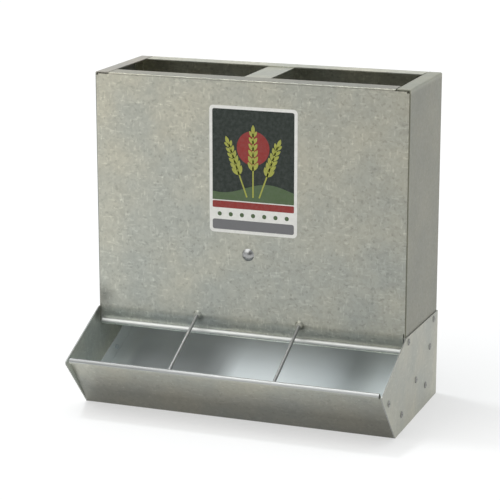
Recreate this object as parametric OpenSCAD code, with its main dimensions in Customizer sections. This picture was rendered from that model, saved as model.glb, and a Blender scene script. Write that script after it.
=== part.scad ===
// Galvanised sheet-steel pig feeder: an open-topped hopper standing over a trough with three feeding
// places. Millimetres, +Z up, +X to the right seen from the front, the trough reaches towards -Y.
// Inside the modules Y = 0 is the outer face of the hopper's front panel, and in_frame() moves every
// piece so that the origin lies on the ground under the middle of the whole object.

/* [Sheet] */
// Thickness of the galvanised sheet
sheet_t = 1.0; // [0.7:0.1:1.3]
// Radius of the folds at the middle of the sheet
bend_r = 1.1; // [1:0.1:2.4]

/* [Hopper] */
// Width over the two side panels
hopper_w = 306; // [240:1:380]
// Depth over the front and back panels
hopper_d = 109; // [96:1:140]
// Height of the rim above the ground
hopper_h = 314; // [280:1:380]
// Depth of the turned-in top flange of the front and back panels
rim_front = 19; // [12:1:24]
// Depth of the turned-in top flange of the side panels
rim_side = 13; // [9:1:18]
// Room left between neighbouring rim flanges at each corner
rim_gap = 1; // [0.6:0.1:3]
// Depth of the front panel's side flanges, which lie inside the side panels
front_lap = 13; // [11:1:18]
// Depth of the back panel's side flanges
back_lap = 20; // [14:1:26]
// Width of the strap across the open top, under the rim flanges
strap_w = 26; // [22:1:36]
// Distance from the ends of the strap to the hopper's outer faces
strap_inset = 4; // [3:0.5:6]

/* [Front rail] */
// Distance of the bend line below the end plates' top front corner
band_fall = 2.5; // [0:0.5:5]
// Length of the band that leans back below the bend line
band_l = 11.6; // [9:0.1:15]
// Angle of that band from the vertical
band_lean = 17; // [10:1:20]
// Radius of the soft bend above the band
band_bend_r = 40; // [20:1:44]
// Outer radius of the rolled rail along its lower edge
rail_r = 2.8; // [2.2:0.1:3.4]
// Room between the ends of the rail and the side flanges
rail_end_gap = 0.5; // [0.3:0.1:2]

/* [Trough] */
// Height of the end plates' top front corner
seam_z = 86; // [78:1:96]
// Fall of the end plates' top edge from front to back
seam_fall = 2.4; // [0:0.1:5]
// Reach of the end plates before the hopper's front
lip_reach = 76.7; // [66:0.1:88]
// Height of the end plates' front corner
lip_z = 51.2; // [47:0.1:56]
// Rounding of that corner
lip_corner_r = 2.5; // [1:0.5:6]
// Distance of the trough's fold before the hopper's front
fold_reach = 31.2; // [24:0.1:36]
// Slope of the trough's floor
floor_slope = 22; // [18:0.5:25]
// Length of the trough's front wall
wall_l = 66; // [60:0.5:70]
// Lean of the front wall from the vertical
wall_lean = 36; // [32:0.5:39]
// Outer radius of the rolled lip on the front wall
lip_r = 2.7; // [2.6:0.1:3.6]
// Distance from the ends of the rolled lip to the end plates
lip_end_gap = 2.5; // [1.5:0.5:6]
// How far the rolled edges turn
roll_turn = 310; // [270:5:320]
// Height of the floor's flanges against the end plates
floor_flange = 16; // [12:1:18]
// Depth of the front wall's flanges against the end plates
wall_flange = 10; // [9:1:13]
// Distance from the trough's fold to the nearest flange
flange_start = 12; // [9:1:16]
// Height of the floor's rear flange against the back panel
rear_flange = 14; // [9:1:18]
// How far the side panels reach down inside the end plates, measured at the back
end_lap = 12; // [10:1:14]

/* [Floor brace] */
// Distance of the brace's web behind the hopper's front
brace_y = 60; // [50:1:72]
// Height of the brace's lower edge above the ground
brace_z = 12; // [8:1:16]
// Width and height of the brace's end tabs
brace_tab = 17; // [14:1:20]
// Depth of the brace's top flange
brace_flange = 14; // [10:1:20]
// Gap between the brace's top flange and the floor
brace_gap = 0.1; // [0.05:0.05:0.3]

/* [Divider wires] */
// Diameter of the divider wires
wire_d = 3; // [2.4:0.1:3.4]
// Distance between the two wires
wire_pitch = 102; // [80:1:126]
// Height of the wires above the end plates' corner where they meet the front panel
wire_rise = 1.6; // [1:0.1:4]
// Height of the wires' lower ends above the middle of the rolled lip
wire_lift = 0.5; // [0:0.1:0.8]
// Gap around the wires in their holes
wire_gap = 0.1; // [0.05:0.05:0.2]
// Diameter at the foot of the pressed collar round each wire in the front panel
collar_d = 10; // [8:0.5:12]
// Diameter of that collar where the wire enters it
collar_mouth_d = 6; // [5:0.1:7]
// How far that collar stands out
collar_h = 2.2; // [1:0.1:2.6]

/* [Feed gate] */
// Height of the clamp bolt
bolt_z = 150.4; // [138:0.1:170]
// How far the gate slides down from its raised place
gate_travel = 32; // [20:1:36]
// Room between the gate and the leaning band before it
gate_room = 1.7; // [1:0.1:3]
// Room between the gate's sides and the upset ends of the rivets beside it
gate_side_gap = 0.6; // [0.4:0.1:1.5]
// Play of the gate between its spacer and its washer, on each side
gate_play = 0.15; // [0.1:0.05:0.3]
// Height of the raised gate's lower edge above the underside of the rail
gate_hide = 1; // [0.5:0.1:2]
// Sheet left above the gate's slot
gate_head = 14; // [10:1:20]
// Depth of the gate's side flanges
gate_flange = 9; // [6:1:12]
// Height of the folded hem along the gate's lower edge
gate_hem = 9; // [7:1:12]
// Play of the bolt in the gate's slot, on each side
slot_play = 0.3; // [0.2:0.05:0.5]

/* [Clamp] */
// Diameter of the clamp bolt
bolt_d = 4.8; // [4:0.1:6]
// Diameter of its domed head
head_d = 11.9; // [11:0.1:14]
// Height of its domed head
head_h = 2.8; // [2:0.1:3.5]
// Length of its square neck
neck_l = 2.4; // [1.6:0.1:3]
// Gap around the neck in the front panel and in the spacer
neck_gap = 0.1; // [0.05:0.05:0.2]
// Wall of the spacer bush
spacer_wall = 2.4; // [1.6:0.1:3]
// Diameter of the washer
washer_d = 14; // [12:0.5:18]
// Thickness of the washer
washer_t = 1.2; // [0.8:0.1:1.6]
// Gap around the bolt in the washer
washer_gap = 0.25; // [0.1:0.05:0.4]
// Gap around the bolt in the wing nut
nut_gap = 0.05; // [0.02:0.01:0.08]
// Gap between the wing nut and the washer
nut_seat = 0.1; // [0.05:0.05:0.3]
// Diameter of the wing nut's hub
hub_d = 9.6; // [9:0.1:12]
// Height of the wing nut's hub
hub_h = 6; // [5:0.5:8]
// Span over the two wings
wing_span = 27; // [24:0.5:32]
// Thickness of the wings
wing_t = 2.2; // [1.6:0.1:3]
// Radius of the wings' round ends
ear_r = 4; // [3.5:0.1:5]
// Length of bolt showing past the wing nut
bolt_tail = 3; // [1:0.5:8]

/* [Rivets] */
// Diameter of the rivets' shanks
rivet_d = 3.2; // [2.8:0.1:3.6]
// Diameter of the rivets' heads
rivet_head_d = 6.4; // [6:0.1:7]
// Height of the rivets' heads
rivet_head_h = 1; // [0.7:0.1:1.2]
// Diameter of the upset behind the sheets
rivet_tail_d = 4.8; // [4.4:0.1:5]
// Length of the upset behind the sheets
rivet_tail_l = 2.6; // [2:0.1:3]
// Diameter of the pin hole in the rivets' heads
rivet_pin_d = 1.8; // [1.4:0.1:2]
// Gap around the rivets in their holes
rivet_gap = 0.05; // [0.03:0.01:0.1]
// Distance from a rivet's middle to the edge of the sheet
rivet_edge = 5.5; // [4.5:0.1:6]
// Distance from the fold to the rivet in the front wall's flange
wall_rivet_at = 46; // [36:1:50]
// Distance from the ends of the floor's flanges to their outer rivets
floor_rivet_end = 12; // [8:1:16]
// Distance from the middle of the strap to its rivets
strap_rivet_x = 7; // [5:0.5:8]

/* [Wall fixing] */
// Diameter of the four holes in the back panel
fix_d = 7; // [5:0.5:9]
// Distance across between the holes
fix_x = 220; // [160:1:224]
// Distance up between the holes
fix_z = 180; // [120:1:180]
// Height of the lower two holes
fix_low = 100; // [92:1:106]

/* [Hidden] */
$fn = 48;

BEND_STEPS = 6;
ROLL_STEPS = 20;
zinc_front = [0.66, 0.66, 0.62];
zinc_side = [0.58, 0.58, 0.55];
zinc_end = [0.63, 0.63, 0.61];
zinc_pan = [0.55, 0.57, 0.58];
zinc_strap = [0.70, 0.70, 0.67];
bright_steel = [0.75, 0.75, 0.74];
dull_rivet = [0.42, 0.42, 0.40];

// Plain vectors in a profile's own plane
function unit(v) = v / norm(v);
function left_of(v) = [-v[1], v[0]];
function turned(v, a) = [v[0] * cos(a) - v[1] * sin(a), v[0] * sin(a) + v[1] * cos(a)];
function reversed(list) = [for (i = [len(list) - 1 : -1 : 0]) list[i]];

// Arc of a path that runs on from p in direction u and turns by an angle, left if positive
function roll(p, u, r, turn, steps) =
    let (side = sign(turn), centre = p + side * r * left_of(u))
    [for (i = [0 : steps]) centre - side * r * left_of(turned(u, turn * i / steps))];

// Arc that rounds the corner b of a path from a to c
function bend(a, b, c, r, steps = BEND_STEPS) =
    let (u = unit(b - a),
         v = unit(c - b),
         turn = atan2(u[0] * v[1] - u[1] * v[0], u * v))
    roll(b - u * r * tan(abs(turn) / 2), u, r, turn, steps);

// Outline of a sheet of thickness t whose middle follows a path
function normal_at(path, i) =
    let (last = len(path) - 1,
         before = left_of(unit(path[max(i, 1)] - path[max(i, 1) - 1])),
         after = left_of(unit(path[min(i, last - 1) + 1] - path[min(i, last - 1)])),
         middle = unit(before + after))
    middle / (middle * before);
function sheet(path, t) =
    concat([for (i = [0 : len(path) - 1]) path[i] + normal_at(path, i) * t / 2],
           [for (i = [len(path) - 1 : -1 : 0]) path[i] - normal_at(path, i) * t / 2]);

// The end plates' outline, in Y and Z
seam_back_z = seam_z - seam_fall;
lip_corner = [-lip_reach, lip_z];
seam_front = [0, seam_z];
fold_corner = [-fold_reach, 0];
function seam_at(y) = seam_z - seam_fall * y / hopper_d;

// The front panel's leaning band and rolled rail
front_w = hopper_w - 2 * sheet_t;
band_dir = [sin(band_lean), -cos(band_lean)];
band_top = [sheet_t / 2, seam_z - band_fall];
band_end = band_top + band_l * band_dir;
rail_mid_r = rail_r - sheet_t / 2;
rail_centre = band_end - rail_mid_r * left_of(band_dir);
rail_low_z = rail_centre[1] - rail_r;
face_low_z = band_top[1] + band_bend_r * tan(band_lean / 2);
face_top_z = hopper_h - bend_r - sheet_t / 2;
lap_low_z = seam_back_z - end_lap;
lap_top_z = hopper_h - 2 * bend_r - sheet_t;
rim_w = hopper_w - 2 * (rim_side + rim_gap);
overlap = 6;

// The trough: fold, wall, lip and floor, at the middle of the sheet
wall_dir = [-sin(wall_lean), cos(wall_lean)];
floor_dir = [cos(floor_slope), sin(floor_slope)];
fold_r = bend_r + sheet_t / 2;
fold_half = (90 + wall_lean - floor_slope) / 2;
fold_up = fold_half + floor_slope;
fold = [-fold_reach, fold_r + sheet_t / 2 - fold_r * sin(fold_up) / sin(fold_half)];
lip_start = fold + wall_l * wall_dir;
lip_mid_r = lip_r - sheet_t / 2;
lip_centre = lip_start + lip_mid_r * left_of(wall_dir);
pan_back_y = hopper_d - 1.5 * sheet_t;
floor_l = (pan_back_y + fold_reach) / cos(floor_slope);
floor_end = fold + floor_l * floor_dir;
flange_end = min(floor_l - flange_start,
                 (lap_low_z - sheet_t - floor_flange * cos(floor_slope)) / sin(floor_slope));
rear_w = hopper_w - 6 * sheet_t;
inner_half = hopper_w / 2;

// Where the whole object stands in its frame: its front is the end plates' corner or the rolled lip
corner_up = unit(seam_front - lip_corner);
corner_down = unit(fold_corner - lip_corner);
corner_half = acos(corner_up * corner_down) / 2;
corner_centre = lip_corner + unit(corner_up + corner_down) * lip_corner_r / sin(corner_half);
front_y = min(corner_centre[0] - lip_corner_r, lip_centre[0] - lip_r);
frame_y = -(front_y + hopper_d) / 2;

// Rivets in the end plates, in Y and Z
front_rivet = [front_lap - rivet_edge, seam_at(front_lap) - rivet_edge];
back_rivet = [hopper_d - back_lap + rivet_edge, seam_at(hopper_d - back_lap) - rivet_edge];
floor_rivet_s = [flange_start + floor_rivet_end, (flange_start + flange_end) / 2,
                 flange_end - floor_rivet_end];
floor_rivets = [for (s = floor_rivet_s) fold + s * floor_dir + floor_flange / 2 * left_of(floor_dir)];
wall_rivet = fold + wall_rivet_at * wall_dir - wall_flange / 2 * left_of(wall_dir);
brace_rivet = [brace_y + brace_tab / 2, brace_z + brace_tab / 2];
pan_rivets = concat(floor_rivets, [wall_rivet]);
lap_rivets = [front_rivet, back_rivet];

// The gate, its spacer and the stack on the bolt, measured back from the front panel's outer face
band_back_y = band_end[0] + sheet_t / 2;
gate_y = band_back_y + gate_room;
spacer_l = gate_y - gate_play - sheet_t;
gate_back_y = gate_y + sheet_t;
washer_y = gate_back_y + gate_play;
nut_y = washer_y + washer_t + nut_seat;
bolt_end_y = nut_y + hub_h + bolt_tail;
gate_half = hopper_w / 2 - 2 * sheet_t - rivet_tail_l - gate_side_gap;
gate_low_z = rail_low_z + gate_hide;
gate_top_z = bolt_z + gate_travel + bolt_d / 2 + gate_head;
hem_r = 0.8 * sheet_t;
hem_inset = 3;
neck_hole = bolt_d + 2 * neck_gap;
spacer_bore = neck_hole * sqrt(2);

// The divider wires, in Y and Z
wire_top = [0, seam_z + wire_rise];
wire_low = [lip_centre[0], lip_centre[1] + wire_lift];
wire_dir = unit(wire_top - wire_low);
wire_end = wire_top + wire_dir * (gate_y - gate_room) / wire_dir[0];
wire_hole_l = 12;

// Shared placing
module in_frame() {
    translate([0, frame_y, 0]) children();
}

module along_x(width) {
    rotate([90, 0, 90]) linear_extrude(width, center = true) children();
}

module on_bolt() {
    translate([0, 0, bolt_z]) rotate([90, 0, 0]) children();
}

module bolt_hole(d) {
    on_bolt() cylinder(d = d, h = 2 * hopper_d, center = true);
}

// Round holes right across the object for rivets at points in Y and Z
module cross_holes(points) {
    for (p = points)
        translate([0, p[0], p[1]]) rotate([0, 90, 0])
            cylinder(d = rivet_d + 2 * rivet_gap, h = 2 * hopper_w, center = true);
}

module strap_holes() {
    for (x = [-strap_rivet_x, strap_rivet_x], y = [rim_front, hopper_d - rim_front])
        translate([x, strap_rivet_y(y), hopper_h])
            cylinder(d = rivet_d + 2 * rivet_gap, h = 8 * sheet_t, center = true);
}
function strap_rivet_y(rim_y) = rim_y < hopper_d / 2 ? rim_y - rivet_edge : rim_y + rivet_edge;

// Cylinder along a wire's middle from one point to another, in Y and Z
module wire_rod(x, from, to, d) {
    along = to - from;
    translate([x, from[0], from[1]])
        rotate([atan2(along[1], along[0]) - 90, 0, 0])
            cylinder(d = d, h = norm(along));
}

module wire_holes_at(point) {
    for (x = [-wire_pitch / 2, wire_pitch / 2])
        wire_rod(x, point - wire_hole_l / 2 * wire_dir, point + wire_hole_l / 2 * wire_dir,
                 wire_d + 2 * wire_gap);
}

// Blind rivet with its head's seat at z = 0, its head above and its shank below
module rivet(grip) {
    pin_r = rivet_pin_d / 2;
    tail = -grip - rivet_tail_l;
    rotate_extrude()
        polygon([[0, tail], [rivet_tail_d / 3, tail], [rivet_tail_d / 2, tail + rivet_tail_l / 3],
                 [rivet_tail_d / 2, -grip], [rivet_d / 2, -grip], [rivet_d / 2, 0],
                 [rivet_head_d / 2, 0], [rivet_head_d / 2, 0.4 * rivet_head_h],
                 [0.68 * rivet_head_d / 2, rivet_head_h], [pin_r, rivet_head_h],
                 [pin_r, -sheet_t / 2], [0, -sheet_t / 2]]);
}

// Solid rivet set flush with the sheet at z = 0, its head below the sheets
module flush_rivet(grip) {
    head_r = rivet_head_d / 2;
    rotate_extrude()
        polygon([[0, 0], [rivet_d / 2, 0], [rivet_d / 2, -grip], [head_r, -grip],
                 [head_r, -grip - 0.4 * rivet_head_h], [0.68 * head_r, -grip - rivet_head_h],
                 [0, -grip - rivet_head_h]]);
}

// Sheet folded into a wide U seen from above, its web's outer face at y = 0 and its flanges behind
module folded_u(width, depth, height) {
    half = (width - sheet_t) / 2;
    mid = sheet_t / 2;
    linear_extrude(height)
        polygon(sheet(concat([[-half, depth]],
                             bend([-half, depth], [-half, mid], [half, mid], bend_r),
                             bend([-half, mid], [half, mid], [half, depth], bend_r),
                             [[half, depth]]), sheet_t));
}

// Rim flange of a front or back panel: it turns in from the panel's top, seen from the side
module rim_profile() {
    mid = sheet_t / 2;
    top = hopper_h - mid;
    low = face_top_z - overlap;
    polygon(sheet(concat([[rim_front, top]],
                         bend([rim_front, top], [mid, top], [mid, low], bend_r),
                         [[mid, low]]), sheet_t));
}

// Flat face of a front or back panel with its side flanges and rim flange
module hopper_panel(lap, low_z) {
    translate([0, 0, face_low_z]) folded_u(front_w, lap, lap_top_z - face_low_z);
    translate([-front_w / 2 + 2 * bend_r, 0, low_z])
        cube([front_w - 4 * bend_r, sheet_t, face_top_z - low_z]);
    for (s = [0, 1]) mirror([s, 0, 0])
        translate([front_w / 2 - sheet_t, 2 * bend_r, lap_low_z])
            cube([sheet_t, lap - 2 * bend_r, face_low_z + overlap - lap_low_z]);
    along_x(rim_w) rim_profile();
}

module band_profile() {
    high = [sheet_t / 2, face_low_z + overlap];
    polygon(sheet(concat([high],
                         bend(high, band_top, band_end, band_bend_r, 2 * BEND_STEPS),
                         roll(band_end, band_dir, rail_mid_r, -roll_turn, ROLL_STEPS)), sheet_t));
}

// Collars pressed out round the wires, from inside the sheet to before it
module wire_collars() {
    for (x = [-wire_pitch / 2, wire_pitch / 2])
        translate([x, 0.9 * sheet_t, wire_top[1]]) rotate([90, 0, 0])
            cylinder(d1 = collar_d, d2 = collar_mouth_d, h = collar_h + 0.9 * sheet_t);
}

module front_panel() {
    band_w = front_w - 2 * (sheet_t + rail_end_gap);
    color(zinc_front) in_frame() difference() {
        union() {
            hopper_panel(front_lap, face_low_z);
            along_x(band_w) band_profile();
            wire_collars();
        }
        translate([-neck_hole / 2, -sheet_t, bolt_z - neck_hole / 2])
            cube([neck_hole, 3 * sheet_t, neck_hole]);
        wire_holes_at(wire_top);
        cross_holes([front_rivet]);
        strap_holes();
    }
}

module back_panel() {
    color(zinc_side) in_frame() difference() {
        translate([0, hopper_d, 0]) mirror([0, 1, 0]) union() {
            hopper_panel(back_lap, 0);
            translate([-front_w / 2, 0, 0]) cube([front_w, sheet_t, lap_low_z]);
        }
        for (x = [-fix_x / 2, fix_x / 2], z = [fix_low, fix_low + fix_z])
            translate([x, hopper_d - 2 * sheet_t, z]) rotate([-90, 0, 0])
                cylinder(d = fix_d, h = 3 * sheet_t);
        cross_holes([back_rivet]);
        strap_holes();
    }
}

// Right side panel: a flat side with a rim flange turned in at its top
module side_panel() {
    mid = inner_half - sheet_t / 2;
    top = hopper_h - sheet_t / 2;
    rim = inner_half - rim_side;
    edge = bend_r + sheet_t / 2;
    difference() {
        translate([0, hopper_d / 2, 0]) rotate([90, 0, 0])
            linear_extrude(hopper_d - 2 * edge, center = true)
                polygon(sheet(concat([[rim, top]],
                                     bend([rim, top], [mid, top], [mid, lap_low_z], bend_r),
                                     [[mid, lap_low_z]]), sheet_t));
        cross_holes(lap_rivets);
    }
}

module left_side_panel() {
    color(zinc_side) in_frame() mirror([1, 0, 0]) side_panel();
}

module right_side_panel() {
    color(zinc_side) in_frame() side_panel();
}

module top_strap() {
    color(zinc_strap) in_frame() difference() {
        translate([-strap_w / 2, strap_inset, hopper_h - 2 * sheet_t])
            cube([strap_w, hopper_d - 2 * strap_inset, sheet_t]);
        strap_holes();
    }
}

// Right end plate, lapped outside the hopper's side
module end_plate() {
    outline = concat([seam_front],
                     bend(seam_front, lip_corner, fold_corner, lip_corner_r),
                     [fold_corner, [hopper_d, 0], [hopper_d, seam_back_z]]);
    difference() {
        translate([inner_half + sheet_t / 2, 0, 0]) along_x(sheet_t) polygon(outline);
        cross_holes(concat(lap_rivets, pan_rivets, [brace_rivet]));
    }
}

module left_end_plate() {
    color(zinc_end) in_frame() mirror([1, 0, 0]) end_plate();
}

module right_end_plate() {
    color(zinc_end) in_frame() end_plate();
}

// Folded sheet of the trough from the rolled lip to the rear flange, seen from the side
module pan_profile() {
    rear_top = floor_end + [0, rear_flange];
    polygon(sheet(concat(reversed(roll(lip_start, wall_dir, lip_mid_r, roll_turn, ROLL_STEPS)),
                         bend(lip_start, fold, floor_end, fold_r),
                         bend(fold, floor_end, rear_top, bend_r),
                         [rear_top]), sheet_t));
}

// Strip that stands on the sheet between two distances from the fold, against an end plate
module end_flange(dir, side, from, to, depth) {
    base = fold;
    up = side * left_of(dir);
    translate([inner_half - sheet_t / 2, 0, 0]) along_x(sheet_t)
        polygon([base + from * dir, base + to * dir, base + to * dir + depth * up - depth / 3 * dir,
                 base + from * dir + depth * up + depth / 3 * dir]);
}

module trough_pan() {
    lip_box = 2 * lip_r + sheet_t;
    color(zinc_pan) in_frame() difference() {
        union() {
            along_x(hopper_w) pan_profile();
            for (s = [0, 1]) mirror([s, 0, 0]) {
                end_flange(floor_dir, 1, flange_start, flange_end, floor_flange);
                end_flange(wall_dir, -1, flange_start, wall_l - wall_flange, wall_flange);
            }
        }
        for (s = [0, 1]) mirror([s, 0, 0]) {
            translate([inner_half - lip_end_gap, lip_centre[0], lip_centre[1]])
                rotate([wall_lean, 0, 0])
                    translate([0, -lip_box / 2, -lip_r - sheet_t])
                        cube([2 * lip_end_gap, lip_box + sheet_t, lip_box + 2 * sheet_t]);
            translate([rear_w / 2, floor_end[0] - fold_r, floor_end[1] + sheet_t])
                cube([hopper_w, hopper_d, 2 * rear_flange]);
        }
        for (x = [-wire_pitch / 2, wire_pitch / 2])
            wire_rod(x, wire_low, wire_low + 2 * lip_r * wire_dir, wire_d + 2 * wire_gap);
        cross_holes(pan_rivets);
    }
}

// Cross strip under the floor: a web, a top flange against the floor and a tab at each end
module floor_brace() {
    under = fold - (sheet_t + brace_gap) * left_of(floor_dir);
    web_y = brace_y + sheet_t / 2;
    knee = under + floor_dir * (web_y - under[0]) / floor_dir[0];
    flange_tip = knee + brace_flange * floor_dir;
    foot = [web_y, brace_z];
    color(zinc_pan) in_frame() difference() {
        union() {
            along_x(hopper_w)
                polygon(sheet(concat([foot], bend(foot, knee, flange_tip, bend_r), [flange_tip]),
                              sheet_t));
            for (s = [0, 1]) mirror([s, 0, 0])
                translate([inner_half - sheet_t, brace_y, brace_z])
                    cube([sheet_t, brace_tab, brace_tab]);
        }
        cross_holes([brace_rivet]);
    }
}

module left_divider_wire() {
    color(bright_steel) in_frame() wire_rod(-wire_pitch / 2, wire_low, wire_end, wire_d);
}

module right_divider_wire() {
    color(bright_steel) in_frame() wire_rod(wire_pitch / 2, wire_low, wire_end, wire_d);
}

// Folded hem along the gate's lower edge, seen from the side
module hem_profile() {
    mid = gate_y + sheet_t / 2;
    turn_z = gate_low_z + hem_r + sheet_t / 2;
    polygon(sheet(concat([[mid, gate_low_z + gate_hem + 2 * overlap]],
                         roll([mid, turn_z], [0, -1], hem_r, 180, BEND_STEPS),
                         [[mid + 2 * hem_r, gate_low_z + gate_hem]]), sheet_t));
}

module feed_gate() {
    tray_z = gate_low_z + gate_hem + overlap / 2;
    slot_r = bolt_d / 2 + slot_play;
    color(zinc_pan) in_frame() difference() {
        union() {
            translate([0, gate_y, tray_z])
                folded_u(2 * gate_half, gate_flange, gate_top_z - tray_z);
            along_x(2 * (gate_half - hem_inset)) hem_profile();
        }
        translate([0, 0, gate_travel]) bolt_hole(2 * slot_r);
        bolt_hole(2 * slot_r);
        translate([-slot_r, 0, bolt_z]) cube([2 * slot_r, hopper_d, gate_travel]);
    }
}

module gate_spacer() {
    color(bright_steel) in_frame() on_bolt() translate([0, 0, -sheet_t - spacer_l])
        difference() {
            cylinder(d = spacer_bore + 2 * spacer_wall, h = spacer_l);
            translate([0, 0, -spacer_l]) cylinder(d = spacer_bore, h = 3 * spacer_l);
        }
}

module clamp_bolt() {
    dome_r = (pow(head_d / 2, 2) + pow(head_h, 2)) / (2 * head_h);
    color(bright_steel) in_frame() on_bolt() {
        intersection() {
            translate([0, 0, head_h - dome_r]) sphere(r = dome_r);
            cylinder(d = 2 * head_d, h = 2 * head_h);
        }
        translate([-bolt_d / 2, -bolt_d / 2, -neck_l]) cube([bolt_d, bolt_d, neck_l]);
        translate([0, 0, -bolt_end_y]) cylinder(d = bolt_d, h = bolt_end_y);
    }
}

module clamp_washer() {
    color(bright_steel) in_frame() on_bolt() translate([0, 0, -washer_y - washer_t])
        difference() {
            cylinder(d = washer_d, h = washer_t);
            translate([0, 0, -washer_t])
                cylinder(d = bolt_d + 2 * washer_gap, h = 3 * washer_t);
        }
}

// One wing seen flat: out along x and back along y, from the hub to its round end
module wing_profile() {
    tip = [wing_span / 2 - ear_r, hub_h + ear_r / 2];
    root = hub_h / 8;
    polygon([[0, root], [hub_d / 2, root], tip + ear_r * [cos(-45), sin(-45)],
             tip + ear_r * [cos(135), sin(135)], [0, 0.9 * hub_h]]);
    translate(tip) circle(r = ear_r);
}

module wing_nut() {
    color(bright_steel) in_frame() on_bolt() translate([0, 0, -nut_y]) mirror([0, 0, 1])
        difference() {
            union() {
                cylinder(d1 = hub_d, d2 = 0.84 * hub_d, h = hub_h);
                for (s = [0, 1]) mirror([s, 0, 0]) rotate([90, 0, 0])
                    linear_extrude(wing_t, center = true) wing_profile();
            }
            translate([0, 0, -hub_h]) cylinder(d = bolt_d + 2 * nut_gap, h = 4 * hub_h);
        }
}

module strap_rivets() {
    color(zinc_strap) in_frame()
        for (x = [-strap_rivet_x, strap_rivet_x], y = [rim_front, hopper_d - rim_front])
            translate([x, strap_rivet_y(y), hopper_h]) flush_rivet(2 * sheet_t);
}

// Rivets of the right end plate
module end_rivets() {
    for (p = lap_rivets)
        translate([inner_half + sheet_t, p[0], p[1]]) rotate([0, 90, 0]) rivet(3 * sheet_t);
    for (p = concat(pan_rivets, [brace_rivet]))
        translate([inner_half + sheet_t, p[0], p[1]]) rotate([0, 90, 0]) rivet(2 * sheet_t);
}

module left_end_rivets() {
    color(dull_rivet) in_frame() mirror([1, 0, 0]) end_rivets();
}

module right_end_rivets() {
    color(dull_rivet) in_frame() end_rivets();
}

front_panel();
back_panel();
left_side_panel();
right_side_panel();
top_strap();
left_end_plate();
right_end_plate();
trough_pan();
floor_brace();
left_divider_wire();
right_divider_wire();
feed_gate();
gate_spacer();
clamp_bolt();
clamp_washer();
wing_nut();
strap_rivets();
left_end_rivets();
right_end_rivets();
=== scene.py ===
"""Looks of the galvanised pig feeder: finishes, a printed label, camera, floor and light.

Metres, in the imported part's own frame: +Z is up, +X is to the right seen from the front, and the
trough reaches towards -Y.
"""

import math
from collections import namedtuple

import bmesh
import bpy
from mathutils import Matrix, Vector


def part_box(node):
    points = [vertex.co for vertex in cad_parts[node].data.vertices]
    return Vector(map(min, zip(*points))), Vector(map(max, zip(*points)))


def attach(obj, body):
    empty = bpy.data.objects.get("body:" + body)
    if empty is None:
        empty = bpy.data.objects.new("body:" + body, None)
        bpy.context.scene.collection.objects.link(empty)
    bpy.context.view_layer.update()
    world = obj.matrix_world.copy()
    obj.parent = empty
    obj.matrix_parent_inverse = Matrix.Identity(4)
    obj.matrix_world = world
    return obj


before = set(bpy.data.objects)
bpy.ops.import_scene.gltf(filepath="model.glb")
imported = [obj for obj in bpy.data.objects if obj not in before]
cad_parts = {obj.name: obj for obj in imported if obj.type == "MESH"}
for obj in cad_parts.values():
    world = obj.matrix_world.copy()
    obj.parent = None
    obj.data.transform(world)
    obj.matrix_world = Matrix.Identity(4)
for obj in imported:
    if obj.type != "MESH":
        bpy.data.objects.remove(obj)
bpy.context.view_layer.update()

# Photograph's camera, fitted to the edges of the hopper and the trough
CAMERA_PLACE = (0.6132, -1.6544, 0.5967)
CAMERA_YAW = math.radians(20.47)
CAMERA_DOWN = math.radians(14.17)
FOCAL_PIXELS = 1943
IMAGE_PIXELS = 500
SENSOR_MM = 36

# White floor; the lift is the share of its white that is its own
FLOOR_REACH = 8.0
FLOOR_COLOUR = (0.95, 0.95, 0.95)
FLOOR_ROUGHNESS = 0.9
FLOOR_SHINE = 0.1
FLOOR_LIFT = 0.50

# Room around the part; an edge says where a bright or dark place begins and where it is full
BACKDROP_COLOUR = (0.92, 0.92, 0.90)
ROOM_COLOUR = (0.54, 0.55, 0.55)
ZENITH_COLOUR = (0.50, 0.52, 0.53)
OVERHEAD_COLOUR = (1.30, 1.35, 1.38)
OVERHEAD_EDGE = (0.90, 0.97)
OPENING_COLOUR = (0.03, 0.03, 0.03)
OPENING_TOWARD = (0.30, -0.90, 0.32)
OPENING_EDGE = (0.82, 0.93)

# Far lamps: where each shines from, its level, its width in degrees and its colour
LAMPS = {
    "top_left_light": ((-0.32, 0.09, 0.94), 0.22, 7, (0.95, 0.98, 1.0)),
    "front_left_light": ((-0.40, -0.45, 0.80), 0.42, 60, (1.0, 0.99, 0.97)),
}

# Tones of zinc and steel
WARM_ZINC = (0.43, 0.42, 0.345)
COOL_ZINC = (0.375, 0.383, 0.335)
DUSTY_ZINC = (0.77, 0.82, 0.84)
PALE_ZINC = (0.89, 0.94, 0.94)
# Painted highlight along the rail's upper side
RAIL_HIGHLIGHT_ZINC = (0.70, 0.71, 0.69)
# Darker zinc on the lip: painted shade that dims its highlight
LIP_HIGHLIGHT_ZINC = (0.34, 0.345, 0.34)
CUT_STEEL = (0.24, 0.235, 0.215)
LIGHT_STEEL = (0.62, 0.62, 0.60)
DARK_STEEL = (0.50, 0.51, 0.52)
RIVET_GREY = (0.40, 0.40, 0.38)
RIVET_DIRT = (0.27, 0.27, 0.26)

# Sizes of the zinc's crystals, clouds, grain and waves, and the depths of its relief
COARSE_CRYSTAL = 0.0042
FINE_CRYSTAL = 0.0022
CLOUD_SIZE = 0.055
GRAIN_SIZE = 0.0020
GRAIN_DEPTH = 0.000012
SWELL_SIZE = 0.075
SWELL_DEPTH = 0.0006

# Flakes of zinc: cells per metre along each axis, the share that are flakes, and their contrast
FLAKES = [
    ((760, 760, 240), 0.05, 1.6),
    ((240, 240, 760), 0.05, 1.6),
    ((520, 520, 520), 0.06, -1.4),
]

# How far a sheen goes either way from its finish's roughness
ZINC_SHEEN = 0.05
STEEL_SHEEN = 0.09

# Sizes and depths in the finishes of steel, rivets and print
STREAK_SIZE = 0.0009
STREAK_DEPTH = 0.00002
BLOTCH_SIZE = 0.009
RIVET_GRAIN = 0.0016
RIVET_DEPTH = 0.00006
MOTTLE_SIZE = 0.0035
MOTTLE_DEPTH = 0.00003
SCUFF_SIZE = 0.0006
SCUFF_STRETCH = (1.0, 1.0, 0.12)

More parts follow.
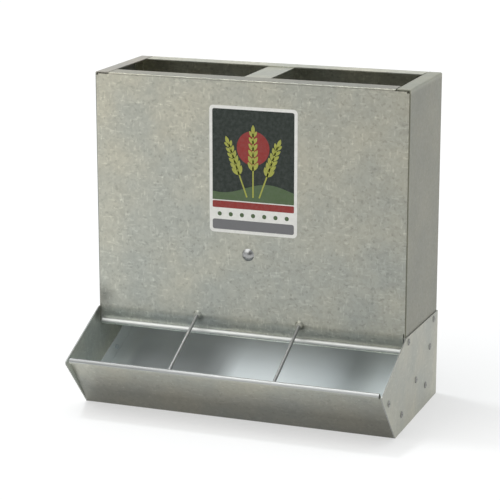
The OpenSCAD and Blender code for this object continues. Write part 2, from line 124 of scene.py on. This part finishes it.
# Worn print keeps this share of its colour and gains this much white
PRINT_KEPT = 0.86
PRINT_WHITE = 0.03

# Distance from the front panel's outer face to the strap's front end
STRAP_INSET = 0.004

# Distances from the part's middle within which an end rivet is dusty, and past which it is clean
RIVET_DUSTY_X = 0.1525
RIVET_CLEAN_X = 0.1535

# Places of painted shade: beside the wires' collars, low on the front panel's left, and inside the
# end plates
COLLAR_SHADE_BESIDE = 0.0022
COLLAR_SHADE_Z = 0.0838
PANEL_SHADE_X = -0.150
PANEL_SHADE_Z = 0.0965
CORNER_SHADE_X = 0.103
CORNER_SHADE_AHEAD = 0.004
CORNER_SHADE_Z = 0.080

# Printed label on the hopper's front: where it lies, its size and how far its layers stand out
LABEL_CENTRE_X = 0.005
LABEL_CENTRE_Z = 0.230
LABEL_WIDTH = 0.086
LABEL_HEIGHT = 0.1195
LABEL_CORNER = 0.004
LABEL_MARGIN = 0.003
LABEL_FILM = 0.00015
INK_LAYER = 0.00004

# Colours of the film and the inks
LABEL_INKS = {
    "film": (0.78, 0.77, 0.73),
    "field": (0.024, 0.032, 0.026),
    "hill": (0.085, 0.13, 0.06),
    "red": (0.27, 0.035, 0.03),
    "grey": (0.17, 0.17, 0.175),
    "straw": (0.36, 0.37, 0.07),
}

# Heights of the print's areas over its lower edge, the gap between them and their corners
FIELD_LOW = 0.028
BAND_LOW = 0.0205
FOOT_HIGH = 0.0095
BAND_GAP = 0.001
FIELD_CORNER = 0.002
BAND_CORNER = 0.001

# Row of spots: how far their lower and upper edges lie below the band, and their size and step
SPOT_LOW_BELOW = 0.0078
SPOT_HIGH_BELOW = 0.0038
SPOT_WIDTH = 0.004
SPOT_CORNER = 0.0018
SPOT_STEP = 0.011
SPOTS_BESIDE = 3

# Hill and disc behind the ears of grain; the disc's middle lies up from the label's
HILL_HEIGHT = 0.012
HILL_WAVE = 0.005
HILL_RADIANS_PER_METRE = 70
HILL_PHASE = 0.6
HILL_STEPS = 24
DISC_RADIUS = 0.016
DISC_UP = 0.0215
DISC_STEPS = 40

# Ears of grain: their feet over the field's edge, their heights, and the outer ones' feet and lean
EAR_LIFT = 0.004
EAR_HEIGHT = 0.060
OUTER_EAR_HEIGHT = 0.052
OUTER_EAR_X = 0.006
OUTER_EAR_LEAN = 20

# Stalk and seeds of an ear; the seeds start at a share of its height, spread over another and shrink
STALK_HALF = 0.0007
SEED_PAIRS = 6
SEEDS_START = 0.42
SEEDS_SPREAD = 0.52
SEED_LENGTH = 0.0095
SEED_SHRINK = 0.0005
SEED_WIDTH_SHARE = 0.42
SEED_TURN = 32
SEED_FULLNESS = 0.8
TIP_LENGTH = 0.009
TIP_WIDTH = 0.0036
TIP_SUNK = 0.001

# Painted light and shade as a tint along an axis of the part, from first at start to last at end
Shade = namedtuple("Shade", "axis start end first last")

# Zone of dust, painted light and painted shade along an axis, from none at start to full at end, and
# its look
Zone = namedtuple("Zone", "axis start end colour metal roughness shades")

# Ball of painted shade: its middle, the distances within which it is full and past which it ends, its
# level
ShadeBall = namedtuple("ShadeBall", "place core reach level")


def grey(level):
    return (level, level, level)


def opaque(colour, level=1.0):
    """A colour times a level, with the fourth number that nodes ask for."""
    return (*(level * part for part in colour), 1)


class Nodes:
    """Short calls that add nodes to a node tree."""

    def __init__(self, tree):
        self.tree = tree

    def add(self, kind, settings=None, **inputs):
        """Adds a node with these settings and inputs; a double underscore stands for a space."""
        node = self.tree.nodes.new(kind)
        for key, value in (settings or {}).items():
            setattr(node, key, value)
        for socket, value in inputs.items():
            self.feed(node.inputs[socket.replace("__", " ")], value)
        return node

    def feed(self, socket, value):
        """Gives a socket a plain value or another node's output."""
        if isinstance(value, bpy.types.NodeSocket):
            self.tree.links.new(value, socket)
        else:
            socket.default_value = value

    def coordinates(self, shift=(0, 0, 0), stretch=(1, 1, 1)):
        """Places on the part, multiplied by stretch and moved by shift."""
        place = self.add("ShaderNodeTexCoord").outputs["Object"]
        moved = self.add("ShaderNodeMapping", Vector=place, Location=shift, Scale=stretch)
        return moved.outputs["Vector"]

    def part_of(self, output, axis):
        """One axis of a texture coordinate.

        Object is the place on the part, Normal the surface's direction and Generated, in the room,
        the direction in which it is seen.
        """
        vector = self.add("ShaderNodeTexCoord").outputs[output]
        return self.add("ShaderNodeSeparateXYZ", Vector=vector).outputs[axis]

    def noise(self, where, grain, detail=2.0, roughness=0.5):
        """Cloudy noise from 0 to 1 with grains of about that size."""
        node = self.add(
            "ShaderNodeTexNoise",
            Vector=where,
            Scale=1 / grain,
            Detail=detail,
            Roughness=roughness,
        )
        return node.outputs["Fac"]

    def crystals(self, where, grain):
        """One random number from 0 to 1 for each crystal of about that size."""
        node = self.add("ShaderNodeTexVoronoi", Vector=where, Scale=1 / grain)
        parts = self.add("ShaderNodeSeparateColor", Color=node.outputs["Color"])
        return parts.outputs["Red"]

    def flakes(self, where, share):
        """1 on that share of all crystals at these places, else 0."""
        return self.maths("LESS_THAN", self.crystals(where, 1.0), share)

    def spread(self, value, low, high, start=0.0, end=1.0):
        """Goes from low at start to high at end."""
        node = self.add(
            "ShaderNodeMapRange",
            Value=value,
            From__Min=start,
            From__Max=end,
            To__Min=low,
            To__Max=high,
        )
        return node.outputs["Result"]

    def along(self, axis, start, end):
        """Goes from 0 at start to 1 at end along an axis of the part."""
        return self.spread(self.part_of("Object", axis), 0, 1, start, end)

    def near(self, place, core, reach):
        """1 within the distance core of a place on the part, 0 past the distance reach."""
        here = self.add("ShaderNodeTexCoord").outputs["Object"]
        return self.spread(self.vector_maths("DISTANCE", here, place), 1, 0, core, reach)

    def work_out(self, kind, operation, a, b):
        """The number that a node of this kind makes of its first two inputs."""
        node = self.add(kind, {"operation": operation})
        self.feed(node.inputs[0], a)
        self.feed(node.inputs[1], b)
        return node.outputs["Value"]

    def maths(self, operation, a, b=0.0):
        """A number worked out from one or two numbers."""
        return self.work_out("ShaderNodeMath", operation, a, b)

    def vector_maths(self, operation, a, b):
        """A number worked out from two vectors."""
        return self.work_out("ShaderNodeVectorMath", operation, a, b)

    def blend(self, share, a, b):
        """Goes from the number a to the number b as share goes from 0 to 1."""
        change = self.maths("MULTIPLY", share, self.maths("SUBTRACT", b, a))
        return self.maths("ADD", a, change)

    def mix(self, share, a, b, mode="MIX"):
        """Goes from the colour a to the colour b, or to both multiplied, as share goes to 1."""
        node = self.add("ShaderNodeMix", {"data_type": "RGBA", "blend_type": mode})
        sockets = {socket.identifier: socket for socket in node.inputs}
        self.feed(sockets["Factor_Float"], share)
        self.feed(sockets["A_Color"], a)
        self.feed(sockets["B_Color"], b)
        return next(socket for socket in node.outputs if socket.identifier == "Result_Color")

    def times(self, colour, level):
        """A colour multiplied by a number."""
        even = self.add("ShaderNodeCombineColor", Red=level, Green=level, Blue=level)
        return self.mix(1.0, colour, even.outputs["Color"], "MULTIPLY")

    def shade(self, colour, shades):
        """A colour tinted along the part by each of these shades."""
        for axis, start, end, first, last in shades:
            tint = self.mix(self.along(axis, start, end), opaque(first), opaque(last))
            colour = self.mix(1.0, colour, tint, "MULTIPLY")
        return colour


class Finish(Nodes):
    """A new material with one Principled shader."""

    def __init__(self, name):
        self.material = bpy.data.materials.new(name)
        self.material.use_nodes = True
        super().__init__(self.material.node_tree)
        self.shader = self.tree.nodes["Principled BSDF"]

    def set(self, **values):
        """Feeds the shader's own sockets; a double underscore stands for a space."""
        for socket, value in values.items():
            self.feed(self.shader.inputs[socket.replace("__", " ")], value)

    def bump(self, height, depth):
        node = self.add("ShaderNodeBump", Height=height, Distance=depth, Strength=1.0)
        self.set(Normal=node.outputs["Normal"])


class Zinc(Finish):
    """Hot-dip zinc on sheet, whose pattern is moved by shift."""

    def __init__(self, name, shift):
        super().__init__(name)
        self.shift = shift
        where = self.coordinates(shift)
        self.coarse = self.crystals(where, COARSE_CRYSTAL)
        self.fine = self.crystals(where, FINE_CRYSTAL)
        self.clouds = self.noise(where, CLOUD_SIZE, detail=3.0)
        self.grain = self.noise(where, GRAIN_SIZE, detail=3.0, roughness=0.6)
        self.swell = self.noise(where, SWELL_SIZE, detail=1.0)

    def spangled(self, tone, spangle):
        """Warm and cool clouds, with crystals and flakes of unlike brightness."""
        cooler = self.spread(self.clouds, 0, 1, start=0.36, end=0.64)
        tint = self.mix(cooler, opaque(WARM_ZINC, tone), opaque(COOL_ZINC, tone))
        flecks = self.maths("ADD", self.maths("ADD", self.coarse, self.fine), self.grain)
        level = self.spread(flecks, 1 - spangle, 1 + spangle, start=0.6, end=2.2)
        colour = self.times(tint, level)
        for cells, share, contrast in FLAKES:
            chosen = self.flakes(self.coordinates(self.shift, stretch=cells), share)
            colour = self.times(colour, self.spread(chosen, 1, 1 + contrast * spangle))
        return colour

    def bare_edges(self, colour, axis):
        """Bare steel on the cut edges of a flat plate, where axis is the one across the sheet."""
        flat = self.maths("ABSOLUTE", self.part_of("Normal", axis))
        return self.mix(self.spread(flat, 0, 1, start=0.3, end=0.6), opaque(CUT_STEEL), colour)

    def add_painted_shade(self, colour, dark_spots):
        """A colour darkened by balls of painted shade."""
        for place, core, reach, level in dark_spots:
            near = self.near(place, core, reach)
            colour = self.times(colour, self.spread(near, 1, level))
        return colour

    def sheen(self, roughness):
        """Roughness that changes a little from crystal to crystal."""
        mottle = self.maths("ADD", self.fine, self.clouds)
        low, high = roughness - ZINC_SHEEN, roughness + ZINC_SHEEN
        return self.spread(mottle, low, high, start=0.2, end=1.6)

    def altered_share(self, zone):
        """How far a zone of dust, painted light and painted shade covers a face: faces that look down
        are not.
        """
        within = self.along(zone.axis, zone.start, zone.end)
        exposed = self.spread(self.part_of("Normal", "Z"), 0, 1, start=-0.25, end=-0.1)
        return self.maths("MULTIPLY", within, exposed)

    def relief(self):
        """Long waves in the sheet and a fine grain."""
        waves = self.maths("MULTIPLY", self.swell, SWELL_DEPTH)
        grains = self.maths("MULTIPLY", self.grain, GRAIN_DEPTH)
        self.bump(self.maths("ADD", waves, grains), depth=1.0)


def galvanised(
    name,
    shift,
    tone=1.0,
    spangle=0.06,
    roughness=0.38,
    metal=0.92,
    cut_axis=None,
    shades=(),
    dark_spots=(),
    altered=(),
):
    """Zinc for one sheet, with tints of painted light and shade, balls of painted shade and altered
    zones.

    On a flat plate cut_axis is the axis across the sheet, and the cut edges are bare steel.
    """
    zinc = Zinc(name, shift)
    colour = zinc.spangled(tone, spangle)
    if cut_axis:
        colour = zinc.bare_edges(colour, cut_axis)
    colour = zinc.add_painted_shade(zinc.shade(colour, shades), dark_spots)
    rough = zinc.sheen(roughness)
    for zone in altered:
        altered_share = zinc.altered_share(zone)
        colour = zinc.mix(altered_share, colour, zinc.shade(opaque(zone.colour), zone.shades))
        metal = zinc.blend(altered_share, metal, zone.metal)
        rough = zinc.blend(altered_share, rough, zone.roughness)
    zinc.set(Base__Color=colour, Metallic=metal, Roughness=rough)
    zinc.relief()
    return zinc.material


def bright_steel(name, along, tone, roughness, metal):
    """Zinc-plated steel with drawn streaks; along is shrunk on the axes where the streaks run."""
    finish = Finish(name)
    streaks = finish.noise(finish.coordinates(stretch=along), STREAK_SIZE, detail=3.0)
    blotches = finish.noise(finish.coordinates(), BLOTCH_SIZE)
    colour = finish.mix(blotches, opaque(LIGHT_STEEL, tone), opaque(DARK_STEEL, tone))
    low, high = roughness - STEEL_SHEEN, roughness + STEEL_SHEEN
    rough = finish.spread(streaks, low, high, start=0.3, end=0.7)
    finish.set(Base__Color=colour, Metallic=metal, Roughness=rough)
    finish.bump(streaks, STREAK_DEPTH)
    return finish.material


def dull_rivet(name):
    """Dull grey rivet heads with darker dirt in their grain, and dusty ends in the trough."""
    finish = Finish(name)
    dark_spots = finish.noise(finish.coordinates(), RIVET_GRAIN, detail=3.0)
    darker = finish.spread(dark_spots, 0, 1, start=0.35, end=0.65)
    colour = finish.mix(darker, opaque(RIVET_GREY), opaque(RIVET_DIRT))
    sideways = finish.maths("ABSOLUTE", finish.part_of("Object", "X"))
    dusty = finish.spread(sideways, 1, 0, RIVET_DUSTY_X, RIVET_CLEAN_X)
    colour = finish.mix(dusty, colour, opaque(DUSTY_ZINC))
    rough = finish.spread(dark_spots, low=0.42, high=0.62, start=0.3, end=0.7)
    finish.set(Base__Color=colour, Metallic=1.0, Roughness=rough)
    finish.bump(dark_spots, RIVET_DEPTH)
    return finish.material


def ink(name, colour):
    """Satin print on film: faint mottling, a few fine scuffs and the film's orange-peel skin."""
    finish = Finish(name)
    mottle = finish.noise(finish.coordinates(), MOTTLE_SIZE, detail=4.0, roughness=0.6)
    scuffs = finish.noise(finish.coordinates(stretch=SCUFF_STRETCH), SCUFF_SIZE)
    altered = [PRINT_KEPT * part + PRINT_WHITE for part in colour]
    altered_share = finish.spread(mottle, 0, 1, start=0.40, end=0.75)
    tint = finish.mix(altered_share, opaque(colour), opaque(altered))
    rough = finish.spread(scuffs, low=0.36, high=0.55, start=0.3, end=0.7)
    finish.set(Base__Color=tint, Roughness=rough, Specular__IOR__Level=0.25)
    finish.bump(mottle, MOTTLE_DEPTH)
    return finish.material


def pale_floor(name):
    """White, part of it its own for camera, glossy and transmission rays, the rest lit and shaded."""
    finish = Finish(name)
    finish.set(Base__Color=opaque(FLOOR_COLOUR), Roughness=FLOOR_ROUGHNESS)
    finish.set(Specular__IOR__Level=FLOOR_SHINE)
    rays = finish.add("ShaderNodeLightPath").outputs
    seen = finish.maths("MAXIMUM", rays["Is Camera Ray"], rays["Is Glossy Ray"])
    seen = finish.maths("MAXIMUM", seen, rays["Is Transmission Ray"])
    white = finish.add("ShaderNodeEmission", Color=opaque(grey(1.0)), Strength=1.0)
    both = finish.add("ShaderNodeMixShader", Fac=finish.maths("MULTIPLY", seen, FLOOR_LIFT))
    finish.feed(both.inputs[1], finish.shader.outputs["BSDF"])
    finish.feed(both.inputs[2], white.outputs["Emission"])
    finish.feed(finish.tree.nodes["Material Output"].inputs["Surface"], both.outputs["Shader"])
    return finish.material


def dress(nodes, material):
    """Gives each of these CAD nodes that material."""
    for name in nodes:
        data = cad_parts[name].data
        data.materials.clear()
        data.materials.append(material)


def front_face_y():
    """Y of the front panel's outer face, which lies before the strap's front end."""
    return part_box("top_strap")[0][1] - STRAP_INSET


def front_painted_shade():
    """Painted shade low on the front panel's left, and painted shadow beside the wires' collars."""
    corner = (PANEL_SHADE_X, front_face_y(), PANEL_SHADE_Z)
    dark_spots = [ShadeBall(corner, core=0.004, reach=0.017, level=0.56)]
    for wire in ("left_divider_wire", "right_divider_wire"):
        low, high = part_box(wire)
        beside = (low[0] + high[0]) / 2 + COLLAR_SHADE_BESIDE
        collar = (beside, front_face_y(), COLLAR_SHADE_Z)
        dark_spots.append(ShadeBall(collar, core=0.0015, reach=0.0055, level=0.60))
    return dark_spots


def dress_front():
    """Front panel: painted light and shade on its face, bend and flange, and a painted highlight on
    its rail.
    """
    # Painted light to the left, upward, at the foot and on the flange; painted reflection under the
    # rail; painted shade on the bend
    painted_light_left = Shade("X", -0.15, 0.15, grey(1.12), grey(0.86))
    painted_light_up = Shade("Z", 0.10, 0.31, (0.99, 1.01, 1.05), (1.12, 1.10, 1.09))
    painted_light_foot = Shade("Z", 0.0835, 0.0865, (1.28, 1.29, 1.34), grey(1.0))
    painted_underside_reflection = Shade("Z", 0.0700, 0.0712, grey(1.6), grey(1.0))
    painted_shade_bend = Shade("Z", 0.3118, 0.3132, grey(1.0), grey(0.50))
    painted_light_flange = Shade("Z", 0.31385, 0.31398, grey(1.0), grey(1.42))
    # Painted highlight along the rail's upper side, dimmer to the right
    painted_shade_to_right = Shade("X", -0.06, 0.06, grey(1.0), grey(0.88))
    rail = Zone("Z", 0.079, 0.076, RAIL_HIGHLIGHT_ZINC, metal=0.7, roughness=0.50, shades=[painted_shade_to_right])
    zinc = galvanised(
        "zinc_front",
        shift=(0, 0, 0),
        spangle=0.10,
        roughness=0.36,
        metal=0.85,
        shades=[painted_light_left, painted_light_up, painted_light_foot, painted_underside_reflection, painted_shade_bend, painted_light_flange],
        dark_spots=front_painted_shade(),
        altered=[rail],
    )
    dress(["front_panel"], zinc)


def dress_back():
    """Back panel and feed gate, pale as painted light inside the hopper; the back panel's outer face
    is darker.
    """
    # The paler tone is painted light inside the hopper; the outer face is darkened back to plain zinc
    plain_outside = Shade("Y", 0.0913, 0.0918, grey(1.0), grey(0.58))
    zinc = galvanised(
        "zinc_back",
        shift=(0.7, 0.2, 0.1),
        tone=1.5,
        spangle=0.10,
        metal=0.9,
        shades=[plain_outside],
    )
    dress(["back_panel", "feed_gate"], zinc)


def dress_sides():
    """Side panels: lit and shaded copies of one zinc, the right darker as painted shade, rims paler
    as painted light.
    """
    # Tone, face tint and rim tint of each side: painted shade on the right one, painted light on the
    # rims
    looks = [
        ("left", 0.72, (0.97, 0.99, 1.02), (1.30, 1.23, 1.26)),
        ("right", 0.46, (0.97, 0.96, 0.84), (1.58, 1.60, 1.50)),
    ]
    for side, tone, face, rim in looks:
        zinc = galvanised(
            "zinc_side_" + side,
            shift=(0.3, 0.9, 0.4),
            tone=tone,
            spangle=0.045,
            metal=0.3,
            shades=[Shade("Z", 0.309, 0.3135, face, rim)],
        )
        dress([side + "_side_panel"], zinc)


def dress_strap():
    """Top strap, and its flush rivets in the painted tones of the front and the rear flange."""
    shift = (0.5, 0.1, 0.8)
    dress(["top_strap"], galvanised("zinc_strap", shift, tone=1.3))
    # The rivets copy the painted light of the front and the rear flange
    flange_painted_light = Shade("Y", 0.0, 0.07, grey(0.86), grey(1.36))
    dress(["strap_rivets"], galvanised("zinc_strap_rivets", shift, shades=[flange_painted_light]))


def dress_end_plates():
    """End plates: painted light low and inside, and painted shade where the inside meets the front
    panel.

    The shade's middle lies far inside, so that it touches the inner face and not the outer one.
    """
    # Painted light low down and on the inner face, painted shade at the front corner inside
    painted_light_foot = Shade("Z", 0.0, 0.05, grey(1.18), grey(1.0))
    for side, sign in (("left", -1), ("right", 1)):
        painted_light_inside = Shade("X", sign * 0.1537, sign * 0.1533, grey(1.0), (1.40, 1.48, 1.55))
        corner = (sign * CORNER_SHADE_X, front_face_y() - CORNER_SHADE_AHEAD, CORNER_SHADE_Z)
        zinc = galvanised(
            "zinc_end_" + side,
            shift=(0.2, 0.5, 0.6),
            tone=0.94,
            roughness=0.40,
            metal=0.35,
            cut_axis="X",
            shades=[painted_light_foot, painted_light_inside],
            dark_spots=[ShadeBall(corner, core=0.0500, reach=0.0508, level=0.30)],
        )
        dress([side + "_end_plate"], zinc)


def trough_zones():
    """Zones of the trough: dust with painted light behind the wall, painted shadow at the left, a
    pale left end, the lip.
    """
    # Painted light and shade on the dust behind the front wall
    painted_shade_right_bay = Shade("X", 0.022, 0.086, grey(1.0), (0.66, 0.68, 0.69))
    painted_light_right_end = Shade("X", 0.088, 0.112, grey(1.0), (1.25, 1.24, 1.22))
    painted_light_middle = Shade("Y", 0.018, 0.034, grey(1.12), grey(1.0))
    painted_shade_front = Shade("Y", -0.020, 0.008, grey(0.70), grey(1.0))
    painted_tints = [painted_shade_right_bay, painted_light_right_end, painted_light_middle, painted_shade_front]
    inside = Zone("Y", -0.086, -0.078, DUSTY_ZINC, metal=0.15, roughness=0.38, shades=painted_tints)
    # Painted shadow over the left part, darker inward and paler to the rear
    painted_shade_inward = Shade("X", -0.110, -0.060, grey(1.0), grey(0.74))
    painted_light_to_rear = Shade("Y", 0.008, 0.045, grey(0.75), grey(1.20))
    painted_tints = [painted_shade_inward, painted_light_to_rear]
    left_part = Zone("X", -0.024, -0.042, DUSTY_ZINC, metal=0.15, roughness=0.38, shades=painted_tints)
    left_end = Zone("X", -0.130, -0.137, PALE_ZINC, metal=0.1, roughness=0.40, shades=[])
    # Lip: painted shade dims its highlight, and a painted highlight brightens it to the right
    painted_highlight_right = Shade("X", -0.080, 0.000, grey(1.0), grey(1.32))
    lip = Zone("Z", 0.0510, 0.0525, LIP_HIGHLIGHT_ZINC, metal=0.7, roughness=0.50, shades=[painted_highlight_right])
    return [inside, left_part, left_end, lip]


def dress_trough():
    """Trough pan and floor brace: painted shade low down and to the right, painted light at the left
    end.
    """
    # Painted shade low on the wall and to the right, painted light at the left end
    painted_shade_foot = Shade("Z", 0.018, 0.048, (0.53, 0.53, 0.54), (1.03, 1.04, 1.08))
    painted_highlight_left = Shade("X", -0.151, -0.128, grey(1.16), grey(1.0))
    painted_shade_to_right = Shade("X", 0.05, 0.15, grey(1.0), grey(0.83))
    zinc = galvanised(
        "zinc_trough",
        shift=(0.9, 0.4, 0.3),
        metal=0.8,
        shades=[painted_shade_foot, painted_highlight_left, painted_shade_to_right],
        altered=trough_zones(),
    )
    dress(["trough_pan", "floor_brace"], zinc)


def dress_wires():
    """Divider wires, drawn along Y and Z."""
    drawn = (1.0, 0.08, 0.08)
    # The right wire's darker tone is painted shade
    for side, tone in (("left", 0.70), ("right", 0.60)):
        wire = bright_steel("steel_wire_" + side, drawn, tone, roughness=0.46, metal=0.8)
        dress([side + "_divider_wire"], wire)


def dress_clamp():
    """Bolt, washer, spacer and wing nut, with an even grain."""
    even = (1.0, 1.0, 1.0)
    steel = bright_steel("steel_clamp", even, tone=0.72, roughness=0.36, metal=1.0)
    dress(["clamp_bolt", "clamp_washer", "gate_spacer", "wing_nut"], steel)


def dress_end_rivets():
    dress(["left_end_rivets", "right_end_rivets"], dull_rivet("rivet_dull"))


def rounded_box(left, low, right, high, radius, steps=6):
    """Outline of a rectangle with round corners, turning left."""
    corners = [
        (right - radius, low + radius, -90),
        (right - radius, high - radius, 0),
        (left + radius, high - radius, 90),
        (left + radius, low + radius, 180),
    ]
    outline = []
    for x, y, start in corners:
        for i in range(steps + 1):
            angle = math.radians(start + 90 * i / steps)
            outline.append((x + radius * math.cos(angle), y + radius * math.sin(angle)))
    return outline


def grain_shape(x, y, length, width, lean_deg, steps=8):
    """Outline of a pointed seed that starts at x, y and leans from the vertical."""
    side = []
    for i in range(steps + 1):
        bulge = math.sin(math.pi * i / steps) ** SEED_FULLNESS
        side.append((width / 2 * bulge, length * i / steps))
    loop = side + [(-across, up) for across, up in reversed(side[1:-1])]
    cos, sin = math.cos(math.radians(lean_deg)), math.sin(math.radians(lean_deg))
    return [(x + across * cos - up * sin, y + across * sin + up * cos) for across, up in loop]


def ear_of_grain(x, y, height, lean_deg):
    """Outlines of one ear of grain: a stalk, pairs of seeds and a tip."""
    lean = math.radians(lean_deg)
    along = Vector((-math.sin(lean), math.cos(lean)))
    across = Vector((along.y, -along.x)) * STALK_HALF
    foot = Vector((x, y))
    head = foot + along * height
    stalk = [foot - across, foot + across, head + across, head - across]
    shapes = [[tuple(corner) for corner in stalk]]
    for i in range(SEED_PAIRS):
        root = foot + along * height * (SEEDS_START + SEEDS_SPREAD * i / (SEED_PAIRS - 1))
        length = SEED_LENGTH - SEED_SHRINK * i
        for turn in (-SEED_TURN, SEED_TURN):
            width = SEED_WIDTH_SHARE * length
            shapes.append(grain_shape(root.x, root.y, length, width, lean_deg + turn))
    shapes.append(grain_shape(head.x, head.y - TIP_SUNK, TIP_LENGTH, TIP_WIDTH, lean_deg))
    return shapes


def three_ears(foot_y):
    """Outlines of an upright ear of grain between two that lean outwards."""
    shapes = ear_of_grain(0, foot_y, EAR_HEIGHT, 0)
    for side in (-1, 1):
        shapes += ear_of_grain(side * OUTER_EAR_X, foot_y, OUTER_EAR_HEIGHT, -side * OUTER_EAR_LEAN)
    return shapes


def hill_shape(left, right, low):
    """Outline of a hill with a flat foot and a wavy top."""
    outline = [(left, low), (right, low)]
    for i in range(HILL_STEPS + 1):
        x = right + (left - right) * i / HILL_STEPS
        wave = HILL_WAVE * math.sin(HILL_RADIANS_PER_METRE * x + HILL_PHASE)
        outline.append((x, low + HILL_HEIGHT + wave))
    return outline


def disc_shape():
    """Outline of the disc behind the ears."""
    outline = []
    for i in range(DISC_STEPS):
        angle = math.tau * i / DISC_STEPS
        outline.append((DISC_RADIUS * math.cos(angle), DISC_UP + DISC_RADIUS * math.sin(angle)))
    return outline


def spot_row(low, high):
    """Outlines of a row of spots."""
    spots = []
    for i in range(-SPOTS_BESIDE, SPOTS_BESIDE + 1):
        left, right = SPOT_STEP * i - SPOT_WIDTH / 2, SPOT_STEP * i + SPOT_WIDTH / 2
        spots.append(rounded_box(left, low, right, high, SPOT_CORNER))
    return spots


def label_shapes():
    """The print: number of the layer, ink, and outlines to the right and up from the middle."""
    left, right = -LABEL_WIDTH / 2 + LABEL_MARGIN, LABEL_WIDTH / 2 - LABEL_MARGIN
    low, high = -LABEL_HEIGHT / 2 + LABEL_MARGIN, LABEL_HEIGHT / 2 - LABEL_MARGIN
    field_low, band_low, foot_high = low + FIELD_LOW, low + BAND_LOW, low + FOOT_HIGH
    spots = spot_row(band_low - SPOT_LOW_BELOW, band_low - SPOT_HIGH_BELOW)
    return [
        (1, "field", [rounded_box(left, field_low, right, high, FIELD_CORNER)]),
        (1, "red", [rounded_box(left, band_low, right, field_low - BAND_GAP, BAND_CORNER)]),
        (1, "grey", [rounded_box(left, low, right, foot_high, FIELD_CORNER)]),
        (1, "hill", spots),
        (2, "red", [disc_shape()]),
        (2, "hill", [hill_shape(left, right, field_low)]),
        (3, "straw", three_ears(field_low + EAR_LIFT)),
    ]


def label_mesh():
    """A thin film with a rim and no back, and the flat print in layers over it."""
    face_y = front_face_y()
    film = bmesh.new()

    def place(point, height):
        return (LABEL_CENTRE_X + point[0], face_y - height, LABEL_CENTRE_Z + point[1])

    def flat(outline, height, slot):
        face = film.faces.new([film.verts.new(place(point, height)) for point in outline])
        face.material_index = slot
        return face

    right, high = LABEL_WIDTH / 2, LABEL_HEIGHT / 2
    sheet = rounded_box(-right, -high, right, high, LABEL_CORNER)
    rim = list(flat(sheet, LABEL_FILM, 0).verts)
    back = [film.verts.new(place(point, 0)) for point in sheet]
    for i, corner in enumerate(rim):
        film.faces.new([rim[i - 1], back[i - 1], back[i], corner])
    for layer, name, outlines in label_shapes():
        for outline in outlines:
            flat(outline, LABEL_FILM + layer * INK_LAYER, list(LABEL_INKS).index(name))
    mesh = bpy.data.meshes.new("front_label")
    film.to_mesh(mesh)
    film.free()
    return mesh


def make_label():
    mesh = label_mesh()
    for name, colour in LABEL_INKS.items():
        mesh.materials.append(ink("label_" + name, colour))
    label = bpy.data.objects.new("front_label", mesh)
    bpy.context.scene.collection.objects.link(label)
    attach(label, "feeder")


def make_camera():
    right = Vector((math.cos(CAMERA_YAW), math.sin(CAMERA_YAW), 0))
    ahead = Vector((
        -math.sin(CAMERA_YAW) * math.cos(CAMERA_DOWN),
        math.cos(CAMERA_YAW) * math.cos(CAMERA_DOWN),
        -math.sin(CAMERA_DOWN),
    ))
    up = right.cross(ahead)
    turn = Matrix((right, up, -ahead)).transposed()
    data = bpy.data.cameras.new("camera")
    data.sensor_width = SENSOR_MM
    data.lens = FOCAL_PIXELS / IMAGE_PIXELS * SENSOR_MM
    camera = bpy.data.objects.new("camera", data)
    camera.matrix_world = Matrix.Translation(CAMERA_PLACE) @ turn.to_4x4()
    bpy.context.scene.collection.objects.link(camera)
    bpy.context.scene.camera = camera


def make_floor():
    corners = [(-1, -1), (1, -1), (1, 1), (-1, 1)]
    places = [(x * FLOOR_REACH, y * FLOOR_REACH, 0) for x, y in corners]
    mesh = bpy.data.meshes.new("floor")
    mesh.from_pydata(places, [], [(0, 1, 2, 3)])
    mesh.materials.append(pale_floor("pale_floor"))
    floor = bpy.data.objects.new("floor", mesh)
    bpy.context.scene.collection.objects.link(floor)


def make_lamp(name, toward, level, width_deg, colour):
    """A far lamp that shines from that direction; level 1 lights a facing white surface to white."""
    data = bpy.data.lights.new(name, "SUN")
    data.energy = level * math.pi
    data.angle = math.radians(width_deg)
    data.color = colour
    lamp = bpy.data.objects.new(name, data)
    lamp.rotation_mode = "QUATERNION"
    lamp.rotation_quaternion = Vector(toward).to_track_quat("Z", "Y")
    bpy.context.scene.collection.objects.link(lamp)


def make_lamps():
    for name, look in LAMPS.items():
        make_lamp(name, *look)


def make_room():
    """The light from all round: paler behind the part, bright overhead, dark at the opening."""
    world = bpy.data.worlds.new("studio")
    world.use_nodes = True
    nodes = Nodes(world.node_tree)
    depth = nodes.spread(nodes.part_of("Generated", "Y"), 0, 1, start=-1, end=1)
    around = nodes.mix(depth, opaque(ROOM_COLOUR), opaque(BACKDROP_COLOUR))
    height = nodes.part_of("Generated", "Z")
    sky = nodes.mix(height, around, opaque(ZENITH_COLOUR))
    overhead = nodes.spread(height, 0, 1, *OVERHEAD_EDGE)
    sky = nodes.mix(overhead, sky, opaque(OVERHEAD_COLOUR))
    seen = nodes.add("ShaderNodeTexCoord").outputs["Generated"]
    facing = nodes.vector_maths("DOT_PRODUCT", seen, Vector(OPENING_TOWARD).normalized())
    opening = nodes.spread(facing, 0, 1, *OPENING_EDGE)
    room = nodes.mix(opening, sky, opaque(OPENING_COLOUR))
    nodes.feed(nodes.tree.nodes["Background"].inputs["Color"], room)
    bpy.context.scene.world = world


dress_front()
dress_back()
dress_sides()
dress_strap()
dress_end_plates()
dress_trough()
dress_wires()
dress_clamp()
dress_end_rivets()
make_label()
make_camera()
make_floor()
make_lamps()
make_room()
bpy.context.scene.view_settings.view_transform = "Standard"
